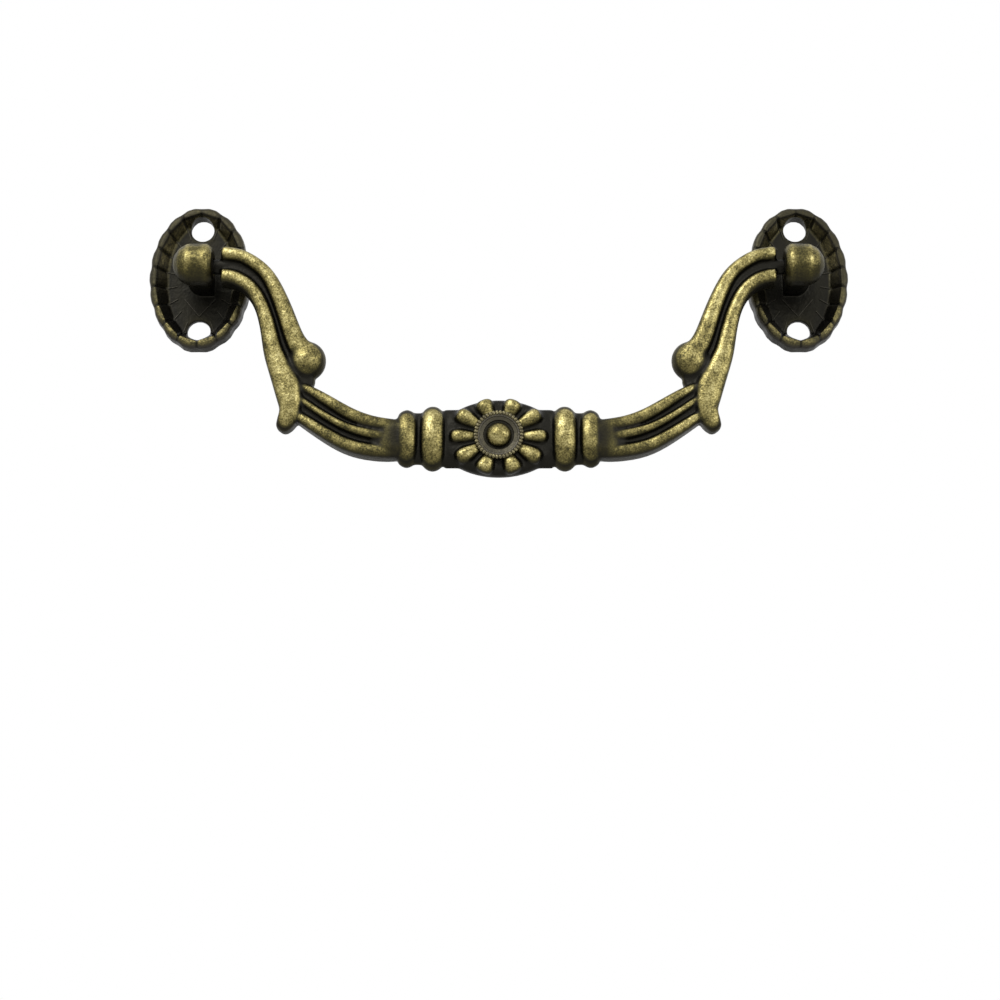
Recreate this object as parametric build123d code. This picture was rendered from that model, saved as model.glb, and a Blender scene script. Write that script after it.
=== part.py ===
"""Antique swan-neck drawer pull: two dished oval backplates, each cast in one with its post, and a cast
bail that swings between the posts on its own pins.

Millimetres. The drawer face is Y = 0, the front is towards -Y, +Z is up, and the origin is midway between
the backplates. Every piece is drawn face up (x right, y up the drawer, z out of its face), then stood up.
"""

import os
from math import atan2, copysign, cos, radians, sin, sqrt

from build123d import *

# Fixing pattern, centre to centre
SCREW_SPACING_X = 96.0
SCREW_SPACING_Z = 17.3
SCREW_HOLE_DIAMETER = 3.7

# Oval backplate with a rounded, scalloped rim and a flat-faceted inner wall
PLATE_WIDTH = 16.2
PLATE_HEIGHT = 24.2
FLOOR_WIDTH = 10.8
FLOOR_HEIGHT = 19.8
FLOOR_THICKNESS = 1.0
RIM_HEIGHT = 3.0
CREST_RADIUS = 0.7
CREST_FLAT = 0.2
CREST_STEPS = 2
SCALLOPS = 18
SCALLOP_CHORDS = 3
SCALLOP_DEPTH = 0.22
GROOVE_WIDTH = 0.5
GROOVE_DEPTH = 0.3

# Post: a stem with a round-ended plan under a barrel head, flat towards the bail and domed at its other end
POST_RADIUS = 3.35
POST_FLAT_OFFSET = 3.0
POST_BARREL_END = 1.0
POST_DOME_LENGTH = 2.5
POST_HEAD_STANDOFF = 8.0
POST_CHAMFER = 0.8
STEM_WIDTH = 5.2
STEM_END = 1.9
HEAD_SIDES = 20
DOME_STEPS = 3

# Pivot of the bail in the posts
PIVOT_STANDOFF = 7.0
PIN_DIAMETER = 2.4
PIN_CLEARANCE = 0.05
PIN_ENGAGEMENT = 4.0
BORE_END_GAP = 0.5
SHOULDER_GAP = 1.15

# Bail: pivot to grip axis, and how thick its strands, reeds and the webs between them are
BAIL_DROP = 28.4
STRAND_DEPTH = 4.4
STRAND_ROUND = 1.4
STRAND_STEPS = 12
STRAND_SIDES = 12
REED_DEPTH = 4.0
REED_WIDTH = 2.15
REED_STEPS = 6
WEB_DEPTH = 2.2
KNOB_DIAMETER = 5.4
KNOB_RINGS = 8
KNOB_SIDES = 16
TAIL_CUT_ANGLE = 32.0

# Beads on either side of the rosette: offset of each from the middle, width, diameter
LARGE_BEAD_OFFSET = 10.05
LARGE_BEAD_WIDTH = 3.1
LARGE_BEAD_DIAMETER = 10.1
SMALL_BEAD_OFFSET = 14.15
SMALL_BEAD_WIDTH = 2.7
SMALL_BEAD_DIAMETER = 9.0
BEAD_FLATNESS = 0.55
BEAD_SHOULDER = 0.75
GRIP_SIDES = 18
CORE_DIAMETER = 9.3
CORE_DEPTH = 2.6
CORE_END_TAPER = 0.75

# Rosette: oval boss, ring of petals, dished disc and domed button
BOSS_WIDTH = 15.4
BOSS_HEIGHT = 12.3
BOSS_DEPTH = 2.9
BOSS_EDGE = 1.5
BOSS_SIDES = 28
PETALS = 10
PETAL_SIDES = 10
PETAL_END_RINGS = 3
PETAL_END_ANGLE = 100.0
PETAL_REACH_X = 7.3
PETAL_REACH_Z = 6.25
PETAL_ROOT_RADIUS = 0.7
PETAL_SIDE_RADIUS = 1.35
PETAL_END_RADIUS = 1.5
PETAL_SIDE_HEIGHT = 1.3
PETAL_END_HEIGHT = 0.75
DISC_DIAMETER = 7.1
DISC_HEIGHT = 2.5
DISC_RIM_WIDTH = 0.5
DISC_DISH_DEPTH = 0.3
DISC_SIDES = 20
BUTTON_DIAMETER = 3.4
BUTTON_HEIGHT = 1.5

# The domed faces of the boss, as (share of its outline, share of the rise from its edge)
BOSS_DOME = ((1.0, 0.0), (0.8, 0.5), (0.35, 1.0))

# Side curves of the bail, as (place from small bead to arm end, place from pivot to grip axis, half width)
SCROLL_STRAND = (
    (1.000, -0.065, 1.15),
    (0.871, -0.045, 1.12),
    (0.780, 0.015, 1.12),
    (0.716, 0.086, 1.18),
    (0.638, 0.264, 1.35),
    (0.587, 0.422, 1.52),
    (0.545, 0.500, 1.80),
    (0.480, 0.545, 2.00),
)
TAIL_STRAND = (
    (1.000, 0.068, 1.15),
    (0.906, 0.075, 1.15),
    (0.801, 0.153, 1.12),
    (0.746, 0.292, 1.15),
    (0.707, 0.511, 1.50),
    (0.622, 0.687, 2.20),
    (0.577, 0.827, 2.00),
    (0.594, 0.965, 1.80),
    (0.605, 1.035, 1.80),
)
UPPER_REED = ((0.524, 0.672), (0.399, 0.783), (0.247, 0.877), (0.099, 0.926), (-0.050, 0.935))
MIDDLE_REED = ((0.540, 0.780), (0.445, 0.847), (0.303, 0.933), (0.162, 0.981), (-0.050, 1.008))
LOWER_REED = ((0.560, 0.865), (0.423, 0.953), (0.289, 1.035), (0.155, 1.074), (-0.050, 1.088))
TAIL_WEB_STEPS = 6
KNOB_CENTRE = (0.487, 0.556)
TAIL_TOE = (0.646, 0.953)

# The plain end of the bar, as (place along, place down, half width, half depth)
BAR_ROOT = ((-0.050, 1.008, 3.30, 2.00), (0.060, 1.003, 3.15, 1.90), (0.140, 0.987, 2.70, 1.15))

# Worked out from the sizes above
plate_x = SCREW_SPACING_X / 2
post_flat_x = plate_x - POST_FLAT_OFFSET
arm_end_x = post_flat_x - SHOULDER_GAP
bar_start_x = SMALL_BEAD_OFFSET + SMALL_BEAD_WIDTH / 2
arm_reach = arm_end_x - bar_start_x


def oval_points(width, height, level, shift=0.0):
    """One point for each scallop, evenly spaced round an oval from its top, plus a shift in scallops."""
    oval = Edge.make_ellipse(width / 2, height / 2)
    pitch = oval.length / SCALLOPS
    places = [(i + shift) * pitch for i in range(SCALLOPS)]
    return [oval.position_at(place, PositionMode.LENGTH) + Vector(0, 0, level) for place in places]


def scalloped_face(inset, level):
    """The plate's outline at one height: short chords over each scallop, notches on a smaller oval."""
    width, height = PLATE_WIDTH - 2 * inset, PLATE_HEIGHT - 2 * inset
    notches = oval_points(width - 2 * SCALLOP_DEPTH, height - 2 * SCALLOP_DEPTH, level)
    crowns = oval_points(width, height, level, 0.5)
    corners = []
    for start, crown, end in zip(notches, crowns, notches[1:] + notches[:1]):
        arc = ThreePointArc(start, crown, end)
        corners += [arc @ (step / SCALLOP_CHORDS) for step in range(SCALLOP_CHORDS)]
    return make_face(Polyline(*corners, close=True))


def v_groove(start, end):
    """A V-shaped cutter along the line from start to end, open on its outer side."""
    along = end - start
    across = Vector(-along.Y, along.X, 0)
    corners = [(0, -GROOVE_DEPTH), (GROOVE_WIDTH, GROOVE_DEPTH), (-GROOVE_WIDTH, GROOVE_DEPTH)]
    section = Plane(origin=start, x_dir=across, z_dir=along) * make_face(Polyline(*corners, close=True))
    return extrude(section, along.length, dir=along.normalized())


def dish():
    """The plate: scalloped body, faceted pocket, and a groove over the rim at every notch but the end two."""
    levels = [(0.0, 0.0)]
    for step in range(CREST_STEPS + 1):
        angle = radians(90 * step / CREST_STEPS)
        levels.append((CREST_RADIUS * (1 - cos(angle)), RIM_HEIGHT - CREST_RADIUS * (1 - sin(angle))))
    body = loft([scalloped_face(inset, level) for inset, level in levels], ruled=True)

    crest = CREST_RADIUS + CREST_FLAT + SCALLOP_DEPTH
    lips = oval_points(PLATE_WIDTH - 2 * crest, PLATE_HEIGHT - 2 * crest, RIM_HEIGHT)
    feet = oval_points(FLOOR_WIDTH, FLOOR_HEIGHT, FLOOR_THICKNESS)
    pocket = loft([make_face(Polyline(*corners, close=True)) for corners in (feet, lips)], ruled=True)
    body -= pocket

    edges = oval_points(PLATE_WIDTH + 2 * CREST_RADIUS, PLATE_HEIGHT + 2 * CREST_RADIUS, RIM_HEIGHT)
    grooves = []
    for i, (foot, lip, edge) in enumerate(zip(feet, lips, edges)):
        if i % (SCALLOPS // 2):
            grooves += [v_groove(foot, lip), v_groove(lip, edge)]
    return body.cut(*grooves)


def dome_steps(radius, base, rise):
    """The (radius, height) steps of a dome, from its edge at (radius, base) to its tip of radius 0."""
    ball = (radius ** 2 + rise ** 2) / (2 * rise)
    size = atan2(radius, ball - rise)
    turns = [size * step / DOME_STEPS for step in range(DOME_STEPS, -1, -1)]
    return [(ball * sin(turn), base + rise - ball * (1 - cos(turn))) for turn in turns]


def corner_ring(plane, half_width, half_depth, sides):
    """The corners of a many-sided oval on a plane; one of no width is a single tip."""
    if half_width == 0:
        return [plane.origin]
    turns = [radians(360 * i / sides) for i in range(sides)]
    return [plane.from_local_coords(Vector(half_width * cos(turn), half_depth * sin(turn))) for turn in turns]


def round_rings(base, steps, sides):
    """Rings of corners over a base plane, through (radius, height) steps."""
    return [corner_ring(base.offset(height), radius, radius, sides) for radius, height in steps]


def faceted(rings):
    """A solid of flat facets between rings of corners that are scaled copies of each other, tips included."""
    outlines = [ring for ring in (rings[0], rings[-1]) if len(ring) > 1]
    for low, high in zip(rings, rings[1:]):
        for i in range(max(len(low), len(high))):
            below = low[:1] if len(low) == 1 else [low[i - 1], low[i]]
            above = high[:1] if len(high) == 1 else [high[i], high[i - 1]]
            outlines.append(below + above)
    return Solid(Shell([Face(Wire.make_polygon(outline)) for outline in outlines]))


def post():
    """The post, drawn for the right-hand plate: the flat of its head looks to -x, towards the bail."""
    dome = dome_steps(POST_RADIUS, POST_BARREL_END, POST_DOME_LENGTH)
    barrel = [(POST_RADIUS - POST_CHAMFER, -POST_FLAT_OFFSET), (POST_RADIUS, POST_CHAMFER - POST_FLAT_OFFSET)]
    head = Pos(0, 0, POST_HEAD_STANDOFF) * faceted(round_rings(Plane.YZ, barrel + dome, HEAD_SIDES))

    flat, side = POST_CHAMFER - POST_FLAT_OFFSET, STEM_WIDTH / 2
    end = ThreePointArc((0, -side), (STEM_END, 0), (0, side))
    plan = make_face([end, Polyline(end @ 1, (flat, side), (flat, -side), end @ 0)])
    stem = extrude(Pos(0, 0, FLOOR_THICKNESS / 2) * plan, POST_HEAD_STANDOFF - FLOOR_THICKNESS / 2)
    return stem + head


def backplate():
    """One backplate as cast, for the right-hand end: dish and post with screw holes and blind pivot bore."""
    body = dish() + post()
    for side in (-1, 1):
        body -= Pos(0, side * SCREW_SPACING_Z / 2, 0) * Cylinder(SCREW_HOLE_DIAMETER / 2, 4 * RIM_HEIGHT)
    from_mouth = (Align.CENTER, Align.CENTER, Align.MIN)
    bore = Cylinder(PIN_DIAMETER / 2 + PIN_CLEARANCE, PIN_ENGAGEMENT + BORE_END_GAP, align=from_mouth)
    return body - Pos(-POST_FLAT_OFFSET, 0, PIVOT_STANDOFF) * Rot(0, 90, 0) * bore


def side_point(along, down):
    """A point of the bail's side curves on its middle plane."""
    return Vector(bar_start_x + along * arm_reach, -down * BAIL_DROP)


def oval_section(point, along, half_width, half_depth, sides):
    """A many-sided oval on the bail's middle plane, square to a direction."""
    plane = Plane(origin=point, x_dir=along.cross(Vector(0, 0, 1)), z_dir=along)
    turns = [radians(360 * (i + 0.5) / sides) for i in range(sides)]
    corners = [(half_width * cos(turn), half_depth * sin(turn)) for turn in turns]
    return plane * make_face(Polyline(*corners, close=True))


def strand_section(point, along, half_width, half_depth):
    """A many-sided section square to a strand: rounded front and back, straight flanks between."""
    plane = Plane(origin=point, x_dir=along.cross(Vector(0, 0, 1)), z_dir=along)
    corners = []
    for i in range(STRAND_SIDES):
        turn = radians(360 * (i + 0.5) / STRAND_SIDES)
        flank = copysign(half_depth - STRAND_ROUND, sin(turn))
        corners.append((half_width * cos(turn), flank + STRAND_ROUND * sin(turn)))
    return plane * make_face(Polyline(*corners, close=True))


def strand(stations, depth, steps):
    """A rounded strand on a smooth centre line, whose third coordinate carries the half width."""
    line = Spline(*[side_point(along, down) + Vector(0, 0, half) for along, down, half in stations])
    sections = []
    for step in range(steps):
        place, heading = line @ (step / (steps - 1)), line % (step / (steps - 1))
        along = Vector(heading.X, heading.Y)
        sections.append(strand_section(Vector(place.X, place.Y), along, place.Z, depth / 2))
    return loft(sections, ruled=True)


def reed(places):
    """One reed of the bottom bar, of even width."""
    return strand([(along, down, REED_WIDTH / 2) for along, down in places], REED_DEPTH, REED_STEPS)


def web(first, second, corner=None):
    """A flat web between two curves that start at one end; its edges lie inside the strands it joins."""
    one = Spline(*[side_point(*place[:2]) for place in first])
    two = Spline(*[side_point(*place[:2]) for place in second])
    ends = [one @ 1, two @ 1]
    if corner:
        ends.insert(1, side_point(*corner))
    return extrude(make_face([one, Polyline(*ends), two, Line(two @ 0, one @ 0)]), WEB_DEPTH / 2, both=True)


def tail():
    """The outer strand, cut off slantwise so that it ends in a toe that points outwards."""
    toe = side_point(*TAIL_TOE)
    size = 2 * KNOB_DIAMETER
    waste = Box(3 * size, size, size, align=(Align.CENTER, Align.MAX, Align.CENTER))
    return strand(TAIL_STRAND, STRAND_DEPTH, STRAND_STEPS) - Pos(toe) * Rot(0, 0, -TAIL_CUT_ANGLE) * waste


def bar_root():
    """The plain end of the bar next to the beads, where the reeds run together."""
    points = [side_point(along, down) for along, down, _, _ in BAR_ROOT]
    along = points[-1] - points[0]
    ovals = []
    for point, (_, _, half_width, half_depth) in zip(points, BAR_ROOT):
        ovals.append(oval_section(point, along, half_width, half_depth, STRAND_SIDES))
    return loft(ovals, ruled=True)


def knob():
    """The ball that the scroll strand ends in."""
    centre, radius = side_point(*KNOB_CENTRE), KNOB_DIAMETER / 2
    steps = [(0, radius)]
    for step in range(1, KNOB_RINGS):
        turn = radians(180 * step / KNOB_RINGS)
        steps.append((radius * sin(turn), radius * cos(turn)))
    steps.append((0, -radius))
    return faceted(round_rings(Plane(centre), steps, KNOB_SIDES))


def arm():
    """The right-hand side of the bail: swan-neck arm, scroll knob, reeded bar and pivot pin."""
    pin_end = post_flat_x + PIN_ENGAGEMENT
    pin_start = side_point(TAIL_STRAND[1][0], 0)
    pin = Cylinder(PIN_DIAMETER / 2, pin_end - pin_start.X, align=(Align.CENTER, Align.CENTER, Align.MIN))
    pieces = [
        tail(),
        knob(),
        web(SCROLL_STRAND, TAIL_STRAND[:TAIL_WEB_STEPS + 1], UPPER_REED[1]),
        web(UPPER_REED, LOWER_REED),
        reed(UPPER_REED),
        reed(MIDDLE_REED),
        reed(LOWER_REED),
        bar_root(),
        Pos(pin_start) * Rot(0, 90, 0) * pin,
    ]
    return strand(SCROLL_STRAND, STRAND_DEPTH, STRAND_STEPS).fuse(*pieces)


def turned(stations):
    """A flattened turning on the grip axis, through ovals given as (place, half height, half depth)."""
    along = Vector(1, 0, 0)
    ovals = []
    for x, half_height, half_depth in stations:
        ovals.append(oval_section(Vector(x, -BAIL_DROP), along, half_height, half_depth, GRIP_SIDES))
    return loft(ovals, ruled=True)


def bead(offset, width, diameter):
    """A bead: a flattened disc with a rounded edge."""
    stations = []
    for step in range(-2, 3):
        half_height = diameter / 2 - BEAD_SHOULDER * (step / 2) ** 2
        stations.append((offset + step * width / 4, half_height, half_height * BEAD_FLATNESS))
    return turned(stations)


def core():
    """The flat barrel that runs through the beads and the rosette from one bar to the other."""
    radius, depth = CORE_DIAMETER / 2, CORE_DEPTH / 2
    end = radius * CORE_END_TAPER
    return turned([
        (-bar_start_x, end, depth),
        (-LARGE_BEAD_OFFSET, radius, depth),
        (LARGE_BEAD_OFFSET, radius, depth),
        (bar_start_x, end, depth),
    ])


def petal(angle):
    """A teardrop petal, narrow at the disc and round at its outer end, at an angle round the rosette."""
    sideways = cos(radians(angle)) ** 2
    reach = 1 / sqrt(sideways / PETAL_REACH_X ** 2 + (1 - sideways) / PETAL_REACH_Z ** 2)
    end_radius = PETAL_END_RADIUS + (PETAL_SIDE_RADIUS - PETAL_END_RADIUS) * sideways
    end_height = PETAL_END_HEIGHT + (PETAL_SIDE_HEIGHT - PETAL_END_HEIGHT) * sideways
    root = Vector(DISC_DIAMETER / 2 - PETAL_ROOT_RADIUS, 0, DISC_HEIGHT - 2 * PETAL_ROOT_RADIUS)
    end = Vector(reach - end_radius, 0, end_height)
    length = (end - root).length
    steps = [(PETAL_ROOT_RADIUS, 0)]
    for step in range(PETAL_END_RINGS, -1, -1):
        turn = radians(PETAL_END_ANGLE * step / PETAL_END_RINGS)
        steps.append((end_radius * sin(turn), length + end_radius * cos(turn)))
    teardrop = faceted(round_rings(Plane.YZ, steps, PETAL_SIDES))
    lie = Plane(origin=root, x_dir=end - root, z_dir=Vector(0, -1, 0).cross(end - root))
    return Pos(0, -BAIL_DROP, 0) * Rot(0, 0, angle) * (lie * teardrop)


def boss():
    """The plain oval lens under the petals, domed on both faces."""
    rise = (BOSS_DEPTH - BOSS_EDGE) / 2
    front = [(share, BOSS_EDGE / 2 + part * rise) for share, part in BOSS_DOME]
    back = [(share, -level) for share, level in reversed(front)]
    rings = []
    for share, level in back + front:
        plane = Plane((0, -BAIL_DROP, level))
        rings.append(corner_ring(plane, share * BOSS_WIDTH / 2, share * BOSS_HEIGHT / 2, BOSS_SIDES))
    return faceted(rings)


def disc():
    """The rosette's middle: a disc with a raised rim round a shallow dish, and a domed button."""
    floor = DISC_HEIGHT - DISC_DISH_DEPTH
    rim = RegularPolygon(DISC_DIAMETER / 2, DISC_SIDES)
    lip = RegularPolygon(DISC_DIAMETER / 2 - DISC_RIM_WIDTH, DISC_SIDES)
    dished = extrude(rim, DISC_HEIGHT) - Pos(0, 0, floor) * extrude(lip, DISC_HEIGHT)
    dome = [(BUTTON_DIAMETER / 2, floor / 2), *dome_steps(BUTTON_DIAMETER / 2, floor, BUTTON_HEIGHT)]
    button = faceted(round_rings(Plane.XY, dome, DISC_SIDES))
    return Pos(0, -BAIL_DROP, 0) * (dished + button)


def rosette():
    """Everything between the large beads: boss, petals, disc and button."""
    petals = [petal(i * 360 / PETALS) for i in range(PETALS)]
    return boss().fuse(*petals, disc())


def bail():
    """The bail as cast, with its pins, hanging straight down from the pivot."""
    beads = []
    for side in (-1, 1):
        beads.append(bead(side * LARGE_BEAD_OFFSET, LARGE_BEAD_WIDTH, LARGE_BEAD_DIAMETER))
        beads.append(bead(side * SMALL_BEAD_OFFSET, SMALL_BEAD_WIDTH, SMALL_BEAD_DIAMETER))
    grip = core().fuse(*beads).fuse(rosette())
    right_arm = arm()
    return Pos(0, 0, PIVOT_STANDOFF) * grip.fuse(right_arm, mirror(right_arm, Plane.YZ))


def stand_up(shape):
    """Turns a piece drawn face up so that its face looks to -Y and its top to +Z."""
    return Plane.XZ.location * shape


right_plate = Pos(plate_x, 0, 0) * backplate()
nodes = {
    "right_backplate": right_plate,
    "left_backplate": mirror(right_plate, Plane.YZ),
    "bail": bail(),
}

os.makedirs("parts", exist_ok=True)
for name, shape in nodes.items():
    export_step(stand_up(shape), f"parts/{name}.step")
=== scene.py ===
"""Antique swan-neck drawer pull: soft cast forms, rubbed brass and a white studio round the CAD part."""
import math

import bpy
import numpy as np
from bpy.props import FloatProperty, FloatVectorProperty, IntProperty, PointerProperty
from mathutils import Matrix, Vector


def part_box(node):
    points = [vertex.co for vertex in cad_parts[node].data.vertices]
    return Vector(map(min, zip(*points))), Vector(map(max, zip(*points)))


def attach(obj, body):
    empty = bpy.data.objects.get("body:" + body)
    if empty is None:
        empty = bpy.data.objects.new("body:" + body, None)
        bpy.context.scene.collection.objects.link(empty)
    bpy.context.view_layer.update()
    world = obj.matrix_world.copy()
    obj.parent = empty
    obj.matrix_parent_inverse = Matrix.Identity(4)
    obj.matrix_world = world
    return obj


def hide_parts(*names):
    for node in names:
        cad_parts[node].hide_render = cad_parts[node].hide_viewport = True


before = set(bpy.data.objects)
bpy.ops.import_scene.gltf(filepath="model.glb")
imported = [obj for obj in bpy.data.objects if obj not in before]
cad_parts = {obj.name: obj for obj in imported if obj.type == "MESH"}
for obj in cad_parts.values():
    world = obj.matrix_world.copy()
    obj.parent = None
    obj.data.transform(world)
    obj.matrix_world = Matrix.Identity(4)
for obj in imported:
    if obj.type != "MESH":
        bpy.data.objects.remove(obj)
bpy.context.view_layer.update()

bl_info = {
    "name": "Swan-neck drawer pull",
    "version": (1, 0, 0),
    "blender": (4, 5, 0),
    "location": "3D View > Sidebar > Drawer Pull",
    "description": "Models the castings of an antique brass bail pull and sets them in a studio",
    "category": "Object",
}

MM = 0.001
FINISH_NAME = "antique_brass_rubbed_casting"

# Working values: when points are one, how square on a picked face lies, and the points round a measured oval
MERGE_DISTANCE = 0.001
SQUARE_ON = 0.9
OVAL_POINTS = 721

# Sizes are in millimetres, apart from the studio's. Pivot, grip and arm of the bail, as on the CAD part
PIVOT_STANDOFF = 7.0
BAIL_DROP = 28.4
BAR_START = 15.5
ARM_REACH = 28.35

# Inner strand, ending in the knob: (share of the way from bead to arm end, share of the drop, half width)
SCROLL_STRAND = (
    (1.000, -0.065, 1.15),
    (0.985, -0.064, 1.15),
    (0.930, -0.057, 1.13),
    (0.871, -0.045, 1.12),
    (0.780, 0.015, 1.12),
    (0.716, 0.086, 1.18),
    (0.638, 0.264, 1.35),
    (0.587, 0.422, 1.52),
    (0.545, 0.500, 1.80),
    (0.480, 0.545, 2.00),
)
# Outer strand, which also has a share of the full depth that runs out in its flicked toe
TAIL_STRAND = (
    (1.000, 0.068, 1.15, 1.00),
    (0.985, 0.068, 1.15, 1.00),
    (0.906, 0.075, 1.15, 1.00),
    (0.801, 0.153, 1.12, 1.00),
    (0.746, 0.292, 1.18, 1.00),
    (0.718, 0.400, 1.32, 1.00),
    (0.697, 0.511, 1.52, 1.00),
    (0.662, 0.590, 1.80, 1.00),
    (0.629, 0.655, 2.14, 1.00),
    (0.606, 0.725, 2.18, 1.00),
    (0.596, 0.780, 2.02, 1.00),
    (0.590, 0.830, 1.78, 0.98),
    (0.596, 0.868, 1.62, 0.93),
    (0.612, 0.906, 1.52, 0.85),
    (0.632, 0.936, 1.22, 0.72),
    (0.650, 0.958, 0.80, 0.50),
)
# Flat webs at the bottom of the grooves: between the two strands round under the knob, and behind the reeds
ARM_WEB = (
    (1.000, 0.002, 1.70),
    (0.985, 0.002, 1.70),
    (0.900, 0.012, 1.60),
    (0.815, 0.062, 1.40),
    (0.745, 0.150, 1.25),
    (0.698, 0.264, 1.45),
    (0.657, 0.400, 1.60),
    (0.627, 0.500, 2.00),
    (0.585, 0.580, 2.40),
    (0.548, 0.640, 2.20),
    (0.508, 0.684, 1.65),
    (0.474, 0.712, 0.95),
)
BAR_WEB = (
    (0.590, 0.745, 2.00),
    (0.540, 0.780, 2.10),
    (0.445, 0.850, 2.10),
    (0.303, 0.935, 2.10),
    (0.162, 0.983, 2.10),
    (-0.050, 1.010, 2.10),
)
WEB_HALF_DEPTH = 1.1
# Reeds of the bar: (place along, place down, share of the reeds' width, share of their depth)
UPPER_REED = (
    (0.585, 0.690, 0.55, 0.66),
    (0.495, 0.727, 0.68, 0.84),
    (0.399, 0.787, 0.86, 1.00),
    (0.247, 0.887, 0.98, 1.00),
    (0.099, 0.934, 1.02, 1.00),
    (-0.050, 0.940, 1.00, 1.00),
)
MIDDLE_REED = (
    (0.600, 0.720, 0.45, 0.66),
    (0.540, 0.785, 0.48, 0.80),
    (0.445, 0.855, 0.52, 0.98),
    (0.303, 0.945, 0.60, 1.00),
    (0.162, 0.988, 0.74, 1.00),
    (-0.050, 1.010, 0.90, 1.00),
)
LOWER_REED = (
    (0.600, 0.840, 0.70, 0.70),
    (0.560, 0.870, 0.78, 0.80),
    (0.423, 0.965, 0.88, 1.00),
    (0.289, 1.047, 0.97, 1.00),
    (0.155, 1.080, 1.00, 1.00),
    (-0.050, 1.088, 1.00, 1.00),
)
# The plain end of the bar: (place along, place down, half width, half depth)
NECK = (
    (-0.050, 1.008, 3.25, 2.20),
    (0.030, 1.006, 3.22, 2.18),
    (0.075, 1.001, 3.10, 2.05),
    (0.120, 0.992, 2.85, 1.65),
    (0.155, 0.984, 2.60, 1.10),
)
# A rod: corner rounding as a share of its smaller half, steps of each corner, and levels of smoothing
SECTION_ROUNDNESS = 0.82
SECTION_STEPS = 5
ROD_LEVELS = 2

# Scroll knob: place on the side curves, stretch, and the neck towards its strand, in shares of its diameter
KNOB_CENTRE = (0.490, 0.570)
KNOB_STRETCH = (1.03, 0.84, 1.08)
KNOB_NECK = (0.8, 0, 0.6)
KNOB_NECK_START = 1 / 4
KNOB_NECK_PULL = 1 / 8
# Filing that softens the knob into its strand
KNOB_FILED_RADIUS = 3.6
KNOB_FILED_PASSES = 8

# Beads of the grip and the cores that join them: (middle, width, depth as a share of height, rounding)
LARGE_BEAD = (10.2, 3.5, 0.55, 1.55)
SMALL_BEAD = (14.2, 3.0, 0.55, 1.35)
BEAD_CORE = (12.0, 7.0, 0.33, 0.3)
BEAD_CORE_DIAMETER = 8.4
ROSETTE_CORE = (0.0, 17.0, 0.28, 0.3)
ROSETTE_CORE_DIAMETER = 9.5

# Pivot pins: the root runs back into the arm, and the edge of the free end is rounded
PIN_RADIUS = 1.2
PIN_START = 43.9
PIN_ROOT = 1.0
PIN_EDGE = 0.25

# Petals and thin sepals between them, from the side to the top: (angle, reach, half width of the end, rise)
SIDE_PETAL = (0.0, 7.55, 1.14, 1.35)
PETALS = ((30.0, 7.5, 1.32, 1.4), (66.0, 6.35, 1.48, 1.4))
SEPALS = ((15.0, 7.4, 0.42, 1.25), (48.0, 6.7, 0.42, 1.25))
# A petal's spoon: (share of its length, share of the end's half width)
PETAL_SPOON = ((0.0, 0.52), (0.2, 0.62), (0.42, 0.84), (0.64, 1.0), (0.84, 1.0), (0.95, 0.76), (1.0, 0.36))
PETAL_UNDER_DISC = 0.9
TOP_PETAL_DROP = 0.6
SIDE_PETAL_DROP = 0.15

# Oval boss, disc, milled rim and button of the rosette
BOSS_WIDTH = 18.6
BOSS_HEIGHT = 12.2
BOSS_DEPTH = 2.7
BOSS_ROUNDING = 1.0
DISC_HEIGHT = 2.5
DISC_RIM_WIDTH = 0.8
DISC_RIM_RISE = 0.12
DISC_COLLAR_WIDTH = 0.6
DISC_MOAT_DEPTH = 0.26
DISC_EDGE = 0.05
MILLS = 42
MILL_RADIUS = 0.3
MILL_INSET = 0.22
MILL_STRETCH = (1.3, 0.7, 1)
BUTTON_SEAT = 2.1
BUTTON_RISE = 1.58

# Backplates: their middle, floor and rim as on the CAD part, and the raised lines on the floor
PLATE_CENTRE = 48.0
FLOOR_THICKNESS = 1.0
FLOOR_OVAL = (10.6, 19.6)
RIM_OVAL = (16.2, 24.2)
SCALLOPS = 18
SPOKE_START_OVAL = (7.6, 16.0)
LINE_RISE = 0.16
LINE_CREST = 0.4
LEAF_HALF_WIDTH = 2.45
LEAF_TOP = -3.2
LEAF_TIP = -6.1
# Filing of a plate: the post above its foot, and the rim outside an oval
POST_FOOT = 1.5
POST_REACH = 4.4
POST_FILED_PASSES = 24
RIM_FILED_OVAL = (14.8, 22.8)
RIM_FILED_PASSES = 8

# Polishing and painted form shading: the side they come from, tilted up so that flanks and undersides are
# painted darker and front and upper faces lighter, how far round a form they reach, how they fall off, and
# what is worn anyway
POLISH_AND_LIGHT_FROM = (0, -0.95, 0.32)
POLISH_AND_SHADE_ROUND = (-0.2, 0.95)
POLISH_AND_SHADE_FALL = 1.6
POLISH_LEAST = 0.1
# Handling wears what faces the drawer front
POLISH_BACK = (0.05, 0.95)
BACK_WEAR = 0.55
# Ridges are rubbed and hollows stay dark, by the height over the same form smoothed in so many passes
BAIL_RIDGE_HEIGHT = 0.13
BAIL_RIDGE_PASSES = 110
PLATE_RIDGE_HEIGHT = 0.18
PLATE_RIDGE_PASSES = 160
HOLLOW_SHARE = 0.35
CREASE_PASSES = 12
CREASE_DEPTH = 0.04
CREASE_LEAST = 0.15

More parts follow.
